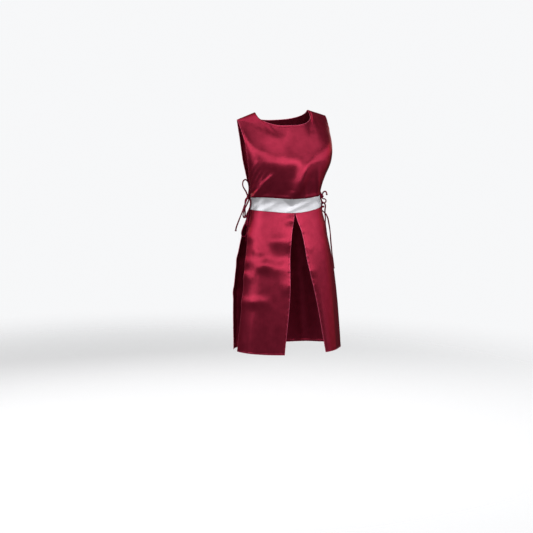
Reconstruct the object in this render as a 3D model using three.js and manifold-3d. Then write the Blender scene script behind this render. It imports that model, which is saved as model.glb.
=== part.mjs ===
// A sleeveless satin ephod: a tabard open down both sides, drawn in at a contrast waistband by
// four pairs of cord ties, its front skirt split into two panels. It keeps the hollow form that
// it has when worn. Units are millimetres, +Z up. The front faces -Y and the wearer's left is +X.
// The origin lies midway between the neck ends of the two shoulder seams.
import * as THREE from "three";
import { mergeVertices } from "three/addons/utils/BufferGeometryUtils.js";
import Module from "manifold-3d";

const wasm = await Module();
wasm.setup();

// Driving dimensions
const wall = 1.6;
const seamGap = 0.3;
const shoulderTip = { x: 177, z: -24 };
const shoulderTilt = 0.042;
const chestTilt = 0.015;
const neck = { halfWidth: 106, shift: -2, frontDrop: 52, frontReach: 104, backDrop: 32, backReach: 52 };
const neckSquareness = 2.5;
const neckSetBack = 1.2;
const shoulderShare = 0.2;
const overShoulderFrom = 0.45;
const straightOn = 0.5;
const tieDiameter = 4;
const tieSides = 8;
const tieStep = 8;
const tailKnotRadius = 3.4;
const knotLength = 8;
const knotHoleRadius = 6.5;
const knotWall = 2.2;
const knotSides = 14;
const knotRounding = 0.9;

// Steps of each panel's mesh, and of the finer rows and columns that it is taken from
const frontAcross = 34;
const backAcross = 28;
const bodiceAlong = 16;
const bandAlong = 2;
const skirtAcross = 12;
const skirtAlong = 20;
const backSkirtAcross = 24;
const waistCrowding = 1.25;
const fineAcross = 24;
const fineAlong = 12;
const weldDistance = 0.0001;

// The form that the cloth hangs on, one row for each level. Widths and depths are from the middle
// of the form, which lies at (shiftX, shiftY).
const levels = [
  { z: -110, rightWidth: 175, leftWidth: 175, backWidth: 172, frontDepth: 112, backDepth: 98, shiftX: 5,
    shiftY: -26, square: 2.5 },
  { z: -180, rightWidth: 169, leftWidth: 169, backWidth: 164, frontDepth: 128, backDepth: 104, shiftX: 5,
    shiftY: -34, square: 2.45 },
  { z: -250, rightWidth: 148, leftWidth: 148, backWidth: 144, frontDepth: 118, backDepth: 97, shiftX: -2,
    shiftY: -38, square: 2.35 },
  { z: -319, rightWidth: 131, leftWidth: 131, backWidth: 129, frontDepth: 104, backDepth: 90, shiftX: -3,
    shiftY: -38, square: 2.3 },
  { z: -370, rightWidth: 134, leftWidth: 136, backWidth: 138, frontDepth: 107, backDepth: 95, shiftX: -1,
    shiftY: -38, square: 2.3 },
  { z: -450, rightWidth: 151, leftWidth: 154, backWidth: 166, frontDepth: 120, backDepth: 110, shiftX: 2,
    shiftY: -38, square: 2.25 },
  { z: -550, rightWidth: 171, leftWidth: 176, backWidth: 190, frontDepth: 136, backDepth: 122, shiftX: 5,
    shiftY: -38, square: 2.2 },
  { z: -680, rightWidth: 188, leftWidth: 195, backWidth: 207, frontDepth: 150, backDepth: 124, shiftX: 6,
    shiftY: -38, square: 2.1 },
  { z: -885, rightWidth: 208, leftWidth: 212, backWidth: 211, frontDepth: 166, backDepth: 118, shiftX: 7,
    shiftY: -40, square: 2 },
];

// Where the cloth's edges lie round the form at each of the levels, in degrees from the middle of
// the front, positive to the wearer's left. The slit starts under the band.
const edges = [
  { frontRight: -79, frontLeft: 79, backEdge: 108 },
  { frontRight: -78, frontLeft: 79, backEdge: 108 },
  { frontRight: -84, frontLeft: 84, backEdge: 109 },
  { frontRight: -88, frontLeft: 87, backEdge: 110 },
  { frontRight: -93, frontLeft: 88, backEdge: 110, slitRight: -1.5, slitLeft: -0.5 },
  { frontRight: -89, frontLeft: 85, backEdge: 108, slitRight: -7, slitLeft: 5 },
  { frontRight: -84, frontLeft: 80, backEdge: 107, slitRight: -11, slitLeft: 8 },
  { frontRight: -81, frontLeft: 79, backEdge: 106, slitRight: -13, slitLeft: 16 },
  { frontRight: -84, frontLeft: 78, backEdge: 106, slitRight: -20, slitLeft: 26 },
];

// How far the cloth is drawn up above each of the levels at the sides and halfway to them.
const lifts = [
  { right: 0, halfRight: 0, halfLeft: 0, left: 0, backRight: 0, backLeft: 0 },
  { right: 0, halfRight: 0, halfLeft: 0, left: 0, backRight: 0, backLeft: 0 },
  { right: 1, halfRight: 1, halfLeft: 2, left: 6, backRight: 2, backLeft: 4 },
  { right: 5, halfRight: 5, halfLeft: 5, left: 18, backRight: 5, backLeft: 14 },
  { right: 8, halfRight: 6, halfLeft: 13, left: 24, backRight: 6, backLeft: 18 },
  { right: 4, halfRight: 3, halfLeft: 6, left: 12, backRight: 3, backLeft: 8 },
  { right: 0, halfRight: 0, halfLeft: 2, left: 4, backRight: 0, backLeft: 2 },
  { right: 0, halfRight: 0, halfLeft: 0, left: 0, backRight: 0, backLeft: 0 },
  { right: 0, halfRight: 0, halfLeft: 0, left: 0, backRight: 0, backLeft: 0 },
];
const bandTop = 3;
const bandBottom = 4;
const hem = levels.length - 1;

// The largest folds, each a soft ridge, or a trough where its height is negative, along a line
// seen from the front or the back. It is highest at its first point and fades out at its second.
const frontFolds = [
  { x1: -134, z1: -316, x2: -88, z2: -232, width: 10, height: 6 },
  { x1: -140, z1: -292, x2: -108, z2: -210, width: 8, height: 3.5 },
  { x1: 0, z1: -286, x2: 50, z2: -158, width: 22, height: 11 },
  { x1: 0, z1: -286, x2: -36, z2: -332, width: 19, height: 11 },
  { x1: 108, z1: -318, x2: 84, z2: -196, width: 11, height: 4 },
  { x1: -12, z1: -40, x2: -62, z2: -176, width: 17, height: 2.5 },
];
const rightSkirtFolds = [
  { x1: -84, z1: -468, x2: -20, z2: -472, width: 24, height: 3 },
  { x1: -14, z1: -526, x2: -116, z2: -534, width: 34, height: -5.5 },
  { x1: -14, z1: -634, x2: -78, z2: -642, width: 24, height: 3 },
  { x1: -190, z1: -698, x2: -100, z2: -692, width: 20, height: 3.5 },
];
const leftSkirtFolds = [
  { x1: 118, z1: -890, x2: 40, z2: -420, width: 22, height: 4 },
  { x1: 188, z1: -890, x2: 150, z2: -430, width: 30, height: -5 },
];
const backFolds = [
  { x1: -128, z1: -322, x2: -54, z2: -220, width: 13, height: 5 },
  { x1: 122, z1: -324, x2: 60, z2: -232, width: 12, height: 4 },
  { x1: -10, z1: -330, x2: 8, z2: -170, width: 24, height: -4 },
];
const backSkirtFolds = [
  { x1: -122, z1: -890, x2: -92, z2: -380, width: 30, height: 8 },
  { x1: 10, z1: -890, x2: -2, z2: -400, width: 32, height: -8 },
  { x1: 124, z1: -890, x2: 88, z2: -390, width: 30, height: 7 },
];

// Each knot is a turn of cord round the strands of a front and a back tie. It stands upright or
// lies along Y, and outward is the side that faces away from the body.
const knots = {
  right_upper: { x: -138, y: -22, z: -316, outward: -1, upright: false },
  right_lower: { x: -138, y: -16, z: -393, outward: -1, upright: true },
  left_upper: { x: 147, y: -38, z: -319, outward: 1, upright: true },
  left_lower: { x: 150, y: -37, z: -358, outward: 1, upright: true },
};
// The cords' routes from the sewn end, through the knot and back, to the knotted free end. Points
// are from the middle of the knot, as [outward, backward, upward].
const ties = {
  right_upper_front: { knot: "right_upper", route: [
    [-2.6, -20.8, 1.7], [-2.3, -13, 2.5], [-2.5, -4, 2.5], [-2.5, 4, 2.5], [-2.8, 10, 4.5],
    [-4, 14, 12], [-6, 14, 28], [-5, 14, 46], [0, 14, 58], [8, 15, 64], [15, 17, 60],
    [18, 18, 50], [17, 17, 39], [12, 15.5, 29], [6.5, 13, 19], [3, 9.5, 8], [2.5, 4, 2.5],
    [2.5, -4, 2.5], [5, -10.5, 2.5], [11.5, -15, -3], [17, -15, -14], [22, -12, -30],
    [28, -8, -50], [35, -2, -72], [41, 5, -93], [46, 11, -112], [47.5, 14, -124]
  ] },
  right_upper_back: { knot: "right_upper", route: [
    [-9.8, 20.2, -0.3], [-7, 15, -1.6], [-3.4, 9, -2.5], [-2.5, 4, -2.5], [-2.5, -4, -2.5],
    [-2.8, -9.5, -4.5], [-3.2, -12, -12], [-1.5, -11.5, -27], [2, -10, -42], [8, -8, -56],
    [12, -6, -67], [16, -5, -74], [22, -4.5, -74.5], [25, -4.5, -66], [23, -5.5, -54],
    [17, -7.5, -38], [10, -10, -22], [5, -11, -10], [2.5, -4, -2.5], [2.5, 4, -2.5],
    [4.5, 10, -4], [8.5, 13.5, -11], [10, 15, -24], [10, 16, -40], [9, 17, -56], [9, 18, -72]
  ] },
  right_lower_front: { knot: "right_lower", route: [
    [-3.2, -13.8, 31], [-3.1, -9, 29.5], [-2.9, -5, 24], [-2.5, -2.8, 15], [-2.5, -2.5, 4],
    [-2.5, -2.5, -4], [-1.5, -2.5, -14], [1, -3, -28], [2.5, -3, -42], [4, -2, -54], [8, 0, -64],
    [16, 3, -70], [23, 5, -66], [25, 5, -57], [22, 4, -44], [16, 2, -30], [9, -0.5, -17],
    [4, -2, -9], [2.5, -2.5, -4], [2.5, -2.5, 4], [3.2, -4, 10.5], [4, -9, 14], [5, -15.5, 11],
    [8, -19.5, 4], [10.5, -20.5, -5], [12, -21, -16], [13.5, -21.5, -27]
  ] },
  right_lower_back: { knot: "right_lower", route: [
    [-6.4, 14.5, 27], [-5.8, 10.5, 26], [-4.6, 6.5, 20.5], [-3, 3.6, 13], [-2.5, 2.5, 4],
    [-2.5, 2.5, -4], [-2, 4, -14], [-1, 7, -27], [1, 10, -42], [3, 12, -58], [4, 13, -74],
    [4, 14, -88]
  ] },
  left_upper_front: { knot: "left_upper", route: [
    [-16.6, -7.2, 17], [-15.4, -4.4, 18.4], [-11.5, -2.5, 19.5], [-6.5, -1.8, 17.5],
    [-3.2, -2, 12], [-2.5, -2.5, 4], [-2.5, -2.5, -4], [-2.4, -4, -12], [0, -7.5, -20],
    [6, -10.5, -24], [12.5, -11, -21], [14.5, -10, -14.5], [10.5, -7.5, -9.5], [5.2, -4.2, -8.5],
    [2.5, -2.5, -4], [2.5, -2.5, 4], [3.6, -3, 11], [8, -4.5, 17.5], [13.5, -6, 18.5],
    [17.5, -7, 13.5], [18.5, -7.5, 7]
  ] },
  left_upper_back: { knot: "left_upper", route: [
    [-24.9, 35.8, 8.3], [-20.5, 28.5, 12], [-14.5, 19.5, 14.5], [-8, 11, 14.5], [-4, 5, 11],
    [-2.5, 2.5, 4], [-2.5, 2.5, -4], [0, 5, -12], [4.5, 9, -22], [7, 12.5, -35], [7, 14.5, -48],
    [6, 16, -64], [6, 17, -80], [7, 17, -95]
  ] },
  left_lower_front: { knot: "left_lower", route: [
    [-15.1, -5.8, 11.9], [-15, -2.5, 10.5], [-13.8, 0, 5], [-12.5, 0.5, -4], [-10.5, -0.2, -11.5],
    [-6.5, -1.4, -15], [-3.2, -2.4, -11], [-2.5, -2.5, -4], [-2.5, -2.5, 4], [-1.6, -2.6, 10],
    [2.5, -4, 14], [8, -5, 12.5], [11.2, -5, 6], [11.6, -4.6, -3], [10.4, -4, -14],
    [11, -3.4, -28], [13, -3, -44], [12.4, -2.6, -58], [13.6, -2.4, -74], [16, -2.5, -90],
    [17.4, -2, -101]
  ] },
  left_lower_back: { knot: "left_lower", route: [
    [-19.7, 35.4, -1], [-16, 28, 4], [-11, 18.5, 10], [-6, 10, 12], [-3.2, 4.4, 9.5],
    [-2.5, 2.5, 4], [-2.5, 2.5, -4], [-0.6, 3.8, -10.5], [8, 6, -19], [18, 7.5, -27],
    [26.5, 8, -42], [31, 8, -60], [35, 8, -80], [38, 8, -102], [40, 8, -126], [42.5, 8, -150],
    [45.5, 8, -176], [49.5, 8, -204], [53.5, 8, -235]
  ] },
};

const signedPower = (value, power) => Math.sign(value) * Math.abs(value) ** power;

// How far the cloth is drawn up at a level and an angle from the middle of the front.
function liftAt(index, degrees, onBack) {
  const lift = lifts[index];
  if (onBack) {
    const fromMiddle = (degrees + 180) / 90;
    return (fromMiddle > 0 ? lift.backRight : lift.backLeft) * fromMiddle ** 2;
  }
  const heights = [lift.right, lift.halfRight, 0, lift.halfLeft, lift.left];
  const spline = new THREE.SplineCurve(heights.map((height, i) => new THREE.Vector2(i, height)));
  return spline.getPoint((THREE.MathUtils.clamp(degrees, -90, 90) + 90) / 180).y;
}

// A point of the cloth at a level, at an angle from the middle of the front.
function formPoint(index, degrees, onBack) {
  const level = levels[index];
  const angle = THREE.MathUtils.degToRad(degrees);
  const power = 2 / level.square;
  const frontWidth = Math.sin(angle) < 0 ? level.rightWidth : level.leftWidth;
  const width = onBack ? level.backWidth : frontWidth;
  const depth = Math.cos(angle) > 0 ? level.frontDepth : level.backDepth;
  const x = level.shiftX + width * signedPower(Math.sin(angle), power);
  const tilt = index === 0 ? chestTilt : 0;
  return new THREE.Vector3(
    x,
    level.shiftY - depth * signedPower(Math.cos(angle), power),
    level.z + liftAt(index, degrees, onBack) + tilt * x,
  );
}

// Places evenly spaced along a polyline, as fractions of its segments, with a length left off at
// each end. With crowding above 1 they lie closer together near the start.
function evenPlaces(points, steps, trimStart = 0, trimEnd = 0, crowding = 1) {
  const lengths = [0];
  for (let i = 1; i < points.length; i++) {
    lengths.push(lengths[i - 1] + points[i].distanceTo(points[i - 1]));
  }
  const total = lengths[lengths.length - 1] - trimStart - trimEnd;
  const places = [];
  let segment = 1;
  for (let i = 0; i <= steps; i++) {
    const at = trimStart + total * (i / steps) ** crowding;
    while (segment < points.length - 1 && lengths[segment] < at) segment++;
    const share = (at - lengths[segment - 1]) / (lengths[segment] - lengths[segment - 1]);
    places.push(segment - 1 + share);
  }
  return places;
}
function pointAt(points, place) {
  const before = Math.min(Math.floor(place), points.length - 2);
  return points[before].clone().lerp(points[before + 1], place - before);
}
function evenly(points, steps) {
  return evenPlaces(points, steps).map((place) => pointAt(points, place));
}

// A row of the cloth at a level, between two edges, with its points evenly spaced.
function levelRow(index, from, to, onBack, across) {
  const fine = [];
  for (let i = 0; i <= across * fineAcross; i++) {
    fine.push(formPoint(index, from + ((to - from) * i) / (across * fineAcross), onBack));
  }
  return evenly(fine, across);
}

// The row along the neckline and both shoulder seams.
function topRow(onBack, across) {
  const drop = onBack ? neck.backDrop : neck.frontDrop;
  const reach = onBack ? neck.backReach : -neck.frontReach;
  const shoulderSteps = Math.round(across * shoulderShare);
  const seam = (end) => evenly([
    new THREE.Vector3(end * shoulderTip.x, 0, shoulderTip.z),
    new THREE.Vector3(end * neck.halfWidth + neck.shift, 0, 0),
  ], shoulderSteps);
  const scoop = [];
  for (let i = 0; i <= across * fineAcross; i++) {
    const angle = Math.PI * (i / (across * fineAcross) - 0.5);
    const down = Math.max(0, Math.cos(angle)) ** (2 / neckSquareness);
    scoop.push(new THREE.Vector3(
      signedPower(Math.sin(angle), 2 / neckSquareness) * neck.halfWidth + neck.shift,
      reach * down ** neckSetBack,
      -drop * down,
    ));
  }
  const neckline = evenly(scoop, across - 2 * shoulderSteps).slice(1, -1);
  const row = [...seam(-1), ...neckline, ...seam(1).reverse()];
  for (const point of row) point.z += shoulderTilt * point.x;
  return row;
}

// Beyond the top row the cloth runs over the shoulder to the other side's chest row, and at the
// neckline straight on. The two are mixed towards the neck points.
function beyondTop(rows, otherChest, across) {
  const top = rows[rows.length - 1];
  const chest = rows[rows.length - 2];
  return top.map((point, i) => {
    const straight = point.clone().lerp(chest[i], -straightOn);
    const fromMiddle = Math.abs(i / across - 0.5) / (0.5 - shoulderShare);
    const overShoulder = pointAt(otherChest, (i / across) * (otherChest.length - 1));
    return straight.lerp(overShoulder, THREE.MathUtils.smoothstep(fromMiddle, overShoulderFrom, 1));
  });
}

// The rows of the front or back from just below the band to the neckline, from the wearer's right
// to left.
function upperRows(onBack, across) {
  const rows = [];
  for (let index = bandBottom + 1; index >= 0; index--) {
    const { frontRight, frontLeft, backEdge } = edges[index];
    rows.push(onBack
      ? levelRow(index, -backEdge, -360 + backEdge, true, across)
      : levelRow(index, frontRight, frontLeft, false, across));
  }
  rows.push(topRow(onBack, across));
  return rows;
}

// The rows of a skirt panel from the hem to the top of the band, from one edge to the other.
function skirtRows(fromEdge, toEdge, onBack, across) {
  const rows = [];
  for (let index = hem; index >= bandTop; index--) {
    const edge = edges[Math.max(index, bandBottom)];
    rows.push(levelRow(index, fromEdge(edge), toEdge(edge), onBack, across));
  }
  return rows;
}

// The outward normal at each point of a grid.
function gridNormals(grid) {
  const last = grid.length - 1;
  return grid.map((row, k) => row.map((_, i) => {
    const acrossStep = row[Math.min(i + 1, row.length - 1)].clone().sub(row[Math.max(i - 1, 0)]);
    const upStep = grid[Math.min(k + 1, last)][i].clone().sub(grid[Math.max(k - 1, 0)][i]);
    return acrossStep.cross(upStep).normalize();
  }));
}

// How far the folds lift the cloth at a point.
function foldHeight(point, folds) {
  const at = new THREE.Vector3(point.x, 0, point.z);
  const nearest = new THREE.Vector3();
  const heights = folds.map((fold) => {
    const line = new THREE.Line3(
      new THREE.Vector3(fold.x1, 0, fold.z1),
      new THREE.Vector3(fold.x2, 0, fold.z2),
    );
    const along = line.closestPointToPointParameter(at, true);
    const away = line.at(along, nearest).distanceTo(at);
    return fold.height * (1 - along ** 2) * Math.exp(-((away / fold.width) ** 2));
  });
  return Math.max(0, ...heights) + Math.min(0, ...heights);
}

// The cloth as one smooth surface through all the rows, with the folds in it. Pieces that meet at
// a seam are cut from one surface, so their walls are in line there.
function clothSurface(rows, folds) {
  const curves = rows[0].map((_, i) =>
    new THREE.CatmullRomCurve3(rows.map((row) => row[i]), false, "centripetal"));
  const steps = (rows.length - 1) * fineAlong;
  const smooth = [];
  for (let k = 0; k <= steps; k++) smooth.push(curves.map((curve) => curve.getPoint(k / steps)));
  const smoothNormals = gridNormals(smooth);
  const points = smooth.map((row, k) => row.map((point, i) =>
    point.clone().addScaledVector(smoothNormals[k][i], foldHeight(point, folds))));
  return { points, normals: gridNormals(points) };
}

// A closed wall of cloth cut from a surface between two of its rows. trims gives the lengths left
// off at the bottom and top of the column at a share of the way across.
function clothPiece(surface, firstRow, lastRow, along, trims, crowding = 1) {
  const columns = surface.points[0].length;
  const from = firstRow * fineAlong;
  const to = lastRow * fineAlong + 1;
  const outer = [];
  const inner = [];
  for (let i = 0; i < columns; i++) {
    const points = surface.points.slice(from, to).map((row) => row[i]);
    const normals = surface.normals.slice(from, to).map((row) => row[i]);
    const [trimStart, trimEnd] = trims(i / (columns - 1));
    const places = evenPlaces(points, along, trimStart, trimEnd, crowding);
    outer.push(places.map((place) => pointAt(points, place)));
    inner.push(places.map((place, k) =>
      outer[i][k].clone().addScaledVector(pointAt(normals, place).normalize(), -wall)));
  }
  const positions = [...outer, ...inner].flat().flatMap((point) => point.toArray());
  const index = [];
  const rows = along + 1;
  const out = (k, i) => i * rows + k;
  const into = (k, i) => out(k, i) + columns * rows;
  const quad = (a, b, c, d) => index.push(a, b, c, a, c, d);
  const lastColumn = columns - 1;
  for (let k = 0; k < along; k++) {
    for (let i = 0; i < lastColumn; i++) {
      quad(out(k, i), out(k, i + 1), out(k + 1, i + 1), out(k + 1, i));
      quad(into(k, i), into(k + 1, i), into(k + 1, i + 1), into(k, i + 1));
    }
    quad(out(k, 0), out(k + 1, 0), into(k + 1, 0), into(k, 0));
    quad(out(k + 1, lastColumn), out(k, lastColumn), into(k, lastColumn), into(k + 1, lastColumn));
  }
  for (let i = 0; i < lastColumn; i++) {
    quad(out(0, i + 1), out(0, i), into(0, i), into(0, i + 1));
    quad(out(along, i), out(along, i + 1), into(along, i + 1), into(along, i));
  }
  const geometry = new THREE.BufferGeometry();
  geometry.setAttribute("position", new THREE.Float32BufferAttribute(positions, 3));
  geometry.setIndex(index);
  geometry.computeVertexNormals();
  return geometry;
}

const red = new THREE.MeshStandardMaterial({ color: 0x8c1230, roughness: 0.35, metalness: 0.2 });
const white = new THREE.MeshStandardMaterial({ color: 0xe4e4ea, roughness: 0.35, metalness: 0.1 });
const group = new THREE.Group();

function addMesh(name, geometry, material) {
  const mesh = new THREE.Mesh(geometry, material);
  mesh.name = name;
  group.add(mesh);
}

// Bodices and bands. Only the shoulder seams are sewn at the top, so the neckline keeps its height.
const frontRows = upperRows(false, frontAcross);
const backRows = upperRows(true, backAcross);
const topIndex = frontRows.length - 1;
const frontChest = frontRows[topIndex - 1];
const backChest = backRows[topIndex - 1];
frontRows.push(beyondTop(frontRows, backChest, frontAcross));
backRows.push(beyondTop(backRows, frontChest, backAcross));
for (const row of backRows) row.reverse();

const seamTrims = () => [seamGap / 2, seamGap / 2];
const hemTrims = () => [0, seamGap / 2];
function bodiceTrims(share) {
  const onShoulder = Math.abs(share - 0.5) + shoulderShare > 0.5 - weldDistance;
  return [seamGap / 2, onShoulder ? seamGap / 2 : 0];
}
const frontSurface = clothSurface(frontRows, frontFolds);
const backSurface = clothSurface(backRows, backFolds);
const bodice = (surface) =>
  clothPiece(surface, 2, topIndex, bodiceAlong, bodiceTrims, waistCrowding);
const band = (surface) => clothPiece(surface, 1, 2, bandAlong, seamTrims);
addMesh("front_bodice", bodice(frontSurface), red);
addMesh("back_bodice", bodice(backSurface), red);
addMesh("front_band", band(frontSurface), white);
addMesh("back_band", band(backSurface), white);

// Skirt panels
function skirtPanel(name, fromEdge, toEdge, onBack, across, folds) {
  const surface = clothSurface(skirtRows(fromEdge, toEdge, onBack, across), folds);
  addMesh(name, clothPiece(surface, 0, hem - bandBottom, skirtAlong, hemTrims), red);
}
skirtPanel("front_skirt_right", (edge) => edge.frontRight, (edge) => edge.slitRight, false,
  skirtAcross, rightSkirtFolds);
skirtPanel("front_skirt_left", (edge) => edge.slitLeft, (edge) => edge.frontLeft, false,
  skirtAcross, leftSkirtFolds);
skirtPanel("back_skirt", (edge) => -360 + edge.backEdge, (edge) => -edge.backEdge, true,
  backSkirtAcross, backSkirtFolds);

// Ties and knots
function toManifold(geometry) {
  geometry.deleteAttribute("normal");
  geometry.deleteAttribute("uv");
  const merged = mergeVertices(geometry, weldDistance);
  return new wasm.Manifold(new wasm.Mesh({
    numProp: 3,
    vertProperties: new Float32Array(merged.getAttribute("position").array),
    triVerts: new Uint32Array(merged.index.array),
  }));
}
function fromManifold(solid) {
  const { vertProperties, triVerts } = solid.getMesh();
  const geometry = new THREE.BufferGeometry();
  geometry.setAttribute("position", new THREE.BufferAttribute(vertProperties, 3));
  geometry.setIndex(new THREE.BufferAttribute(triVerts, 1));
  geometry.computeVertexNormals();
  return geometry;
}

// A round cord along a route, with a small knot tied in its free end.
function tieGeometry({ knot, route }) {
  const { x, y, z, outward } = knots[knot];
  const points = route.map(([out, back, up]) => new THREE.Vector3(x + outward * out, y + back, z + up));
  const curve = new THREE.CatmullRomCurve3(points, false, "centripetal");
  const section = new THREE.Shape();
  for (let i = 0; i < tieSides; i++) {
    const angle = (2 * Math.PI * i) / tieSides;
    const corner = [Math.cos(angle) * tieDiameter / 2, Math.sin(angle) * tieDiameter / 2];
    if (i === 0) section.moveTo(...corner);
    else section.lineTo(...corner);
  }
  section.closePath();
  const cord = new THREE.ExtrudeGeometry(section, {
    steps: Math.round(curve.getLength() / tieStep),
    extrudePath: curve,
    bevelEnabled: false,
  });
  const end = new THREE.IcosahedronGeometry(tailKnotRadius, 1);
  end.translate(...points[points.length - 1].toArray());
  return fromManifold(toManifold(cord).add(toManifold(end)));
}

function knotGeometry({ x, y, z, upright }) {
  const half = knotLength / 2;
  const hole = knotHoleRadius;
  const outside = hole + knotWall;
  const round = knotRounding;
  const profile = [
    new THREE.Vector2(hole, half - round),
    new THREE.Vector2(hole, round - half),
    new THREE.Vector2(hole + round, -half),
    new THREE.Vector2(outside - round, -half),
    new THREE.Vector2(outside, round - half),
    new THREE.Vector2(outside, half - round),
    new THREE.Vector2(outside - round, half),
    new THREE.Vector2(hole + round, half),
    new THREE.Vector2(hole, half - round),
  ];
  const geometry = new THREE.LatheGeometry(profile, knotSides);
  if (upright) geometry.rotateX(Math.PI / 2);
  geometry.translate(x, y, z);
  return geometry;
}

for (const [name, tie] of Object.entries(ties)) addMesh(`tie_${name}`, tieGeometry(tie), red);
for (const [name, knot] of Object.entries(knots)) addMesh(`knot_${name}`, knotGeometry(knot), red);

export default group;
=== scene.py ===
# A sleeveless satin ephod in its worn form: two bodices, a white waistband and a parted skirt in
# thin satin with turned hems, and four pairs of tied satin cords. The form, folds and routes are in
# millimetres and are made in metres. The front faces -Y.
import math

import bpy
import numpy as np
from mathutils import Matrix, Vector


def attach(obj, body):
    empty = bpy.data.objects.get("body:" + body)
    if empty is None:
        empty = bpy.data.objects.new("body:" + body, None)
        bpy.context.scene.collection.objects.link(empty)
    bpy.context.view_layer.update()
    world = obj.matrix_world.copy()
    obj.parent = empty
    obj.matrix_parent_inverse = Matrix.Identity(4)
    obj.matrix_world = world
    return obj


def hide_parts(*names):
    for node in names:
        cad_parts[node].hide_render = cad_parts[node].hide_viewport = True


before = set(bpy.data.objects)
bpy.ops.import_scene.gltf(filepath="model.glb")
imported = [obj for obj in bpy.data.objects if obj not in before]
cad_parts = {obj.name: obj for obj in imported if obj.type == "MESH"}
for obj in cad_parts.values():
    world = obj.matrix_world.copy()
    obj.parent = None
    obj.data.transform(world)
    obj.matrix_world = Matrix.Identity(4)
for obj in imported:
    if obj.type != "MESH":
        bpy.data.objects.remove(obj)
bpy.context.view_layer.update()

MM = 0.001
TINY = 1e-9
WHITE = (1, 1, 1, 1)

# Camera and light
PHOTO_PIXELS = 533
FOCAL_PIXELS = 1344
SENSOR = 36
CAMERA_DISTANCE = 5.0
CAMERA_AZIMUTH = math.radians(-22)
CAMERA_SET_FORWARD = 0.038
AXIS_PIXEL = 285.2
HORIZON_PIXEL = 111
FLOOR_HEIGHT = -1.42
FLOOR_RADIUS = 3.2
FLOOR_BEHIND = 1.6
FLOOR_SIDES = 96
# The floor fades out between these distances from its middle
FLOOR_SOLID, FLOOR_GONE = 0.5, 0.98 * FLOOR_RADIUS
FLOOR_COLOUR = (0.86, 0.86, 0.87)
FLOOR_ROUGHNESS = 0.9
FLOOR_GLOW = 0.16
WORLD_LIGHT = 0.16
BACKDROP = (0.93, 0.935, 0.945)
# Soft boxes stand edge to edge in a ring round the garment, at the height of its upper half
BOX_DISTANCE = 2.9
BOX_WIDTH, BOX_HEIGHT, BOX_MIDDLE = 2.0, 0.85, 0.255
SOFT_BOXES = [
    # name, azimuth, watts
    ("left_side", -100, 18),
    ("left", -62, 14),
    ("key", -24, 16),
    ("front", 14, 22),
    ("right", 52, 13),
    ("right_side", 90, 10),
    ("behind_right", 135, 14),
    ("behind", 180, 15),
    ("behind_left", -140, 13),
]
# Dimmer lights: over the shoulders, high in front, high behind and low on both sides
FILL_LIGHTS = [
    # name, place, aim, width, height, watts
    ("top", (0, 0.4, 2.4), (0, 0, -0.4), 2.4, 1.4, 20),
    ("high_left", (-1.9, -0.9, 1.95), (0, 0, -0.1), 2.1, 2.2, 13),
    ("high_front", (-0.4, -2.1, 1.95), (0, 0, -0.1), 2.1, 2.2, 29),
    ("high_right", (1.5, -1.5, 1.95), (0, 0, -0.1), 2.1, 2.2, 21),
    ("high_behind", (0.3, 2.3, 1.95), (0, 0, -0.1), 3.0, 2.0, 14),
    ("low_right", (2.8, -0.5, -0.8), (0, 0, -0.7), 2.8, 0.9, 5),
    ("low_left", (-2.9, -0.1, -0.4), (0, 0, -0.4), 1.3, 0.4, 5),
]

# The form that the cloth hangs on, as in the solids
SEAM_GAP = 0.3
SHOULDER_TIP = (177, -24)
SHOULDER_TILT = 0.042
CHEST_TILT = 0.015
NECK = dict(half_width=106, shift=-2, front_drop=52, front_reach=104, back_drop=32, back_reach=52)
NECK_SQUARENESS = 2.5
NECK_SET_BACK = 1.2
SHOULDER_SHARE = 0.2
OVER_SHOULDER_FROM = 0.45
STRAIGHT_ON = 0.5
# Steps across each surface, how many finer steps each is split into and how many rows lie between
# two levels. Level rows are first sampled several times as closely as they are kept.
FRONT_ACROSS, BACK_ACROSS, SKIRT_ACROSS, BACK_SKIRT_ACROSS = 34, 28, 12, 24
FINER, SKIRT_FINER = 6, 12
ROW_STEPS = 36
OVERSAMPLED = 3
LEVELS = [
    # height, right width, left width, back width, front depth, back depth, shift X, shift Y, square
    (-110, 175, 175, 172, 112, 98, 5, -26, 2.5),
    (-180, 169, 169, 164, 128, 104, 5, -34, 2.45),
    (-250, 148, 148, 144, 118, 97, -2, -38, 2.35),
    (-319, 131, 131, 129, 104, 90, -3, -38, 2.3),
    (-370, 134, 136, 138, 107, 95, -1, -38, 2.3),
    (-450, 151, 154, 166, 120, 110, 2, -38, 2.25),
    (-550, 171, 176, 190, 136, 122, 5, -38, 2.2),
    (-680, 188, 195, 207, 150, 124, 6, -38, 2.1),
    (-885, 208, 212, 211, 166, 118, 7, -40, 2),
]
EDGES = [
    # front right, front left, back, slit right, slit left, in degrees from the front's middle
    (-79, 79, 108, 0, 0),
    (-78, 79, 108, 0, 0),
    (-84, 84, 109, 0, 0),
    (-88, 87, 110, 0, 0),
    (-93, 88, 110, -1.5, -0.5),
    (-89, 85, 108, -7, 5),
    (-84, 80, 107, -11, 8),
    (-81, 79, 106, -13, 16),
    (-84, 78, 106, -20, 26),
]
LIFTS = [
    # drawn up at: right, halfway right, halfway left, left, back right, back left
    (0, 0, 0, 0, 0, 0),
    (0, 0, 0, 0, 0, 0),
    (1, 1, 2, 6, 2, 4),
    (5, 5, 5, 18, 5, 14),
    (8, 6, 13, 24, 6, 18),
    (4, 3, 6, 12, 3, 8),
    (0, 0, 2, 4, 0, 2),
    (0, 0, 0, 0, 0, 0),
    (0, 0, 0, 0, 0, 0),
]
BAND_TOP, BAND_BOTTOM, HEM = 3, 4, len(LEVELS) - 1
# Rows of the front and back surfaces, counted upward from the level below the band
BAND_FROM, BAND_TO, SHOULDERS = 1, 2, BAND_BOTTOM + 2

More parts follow.
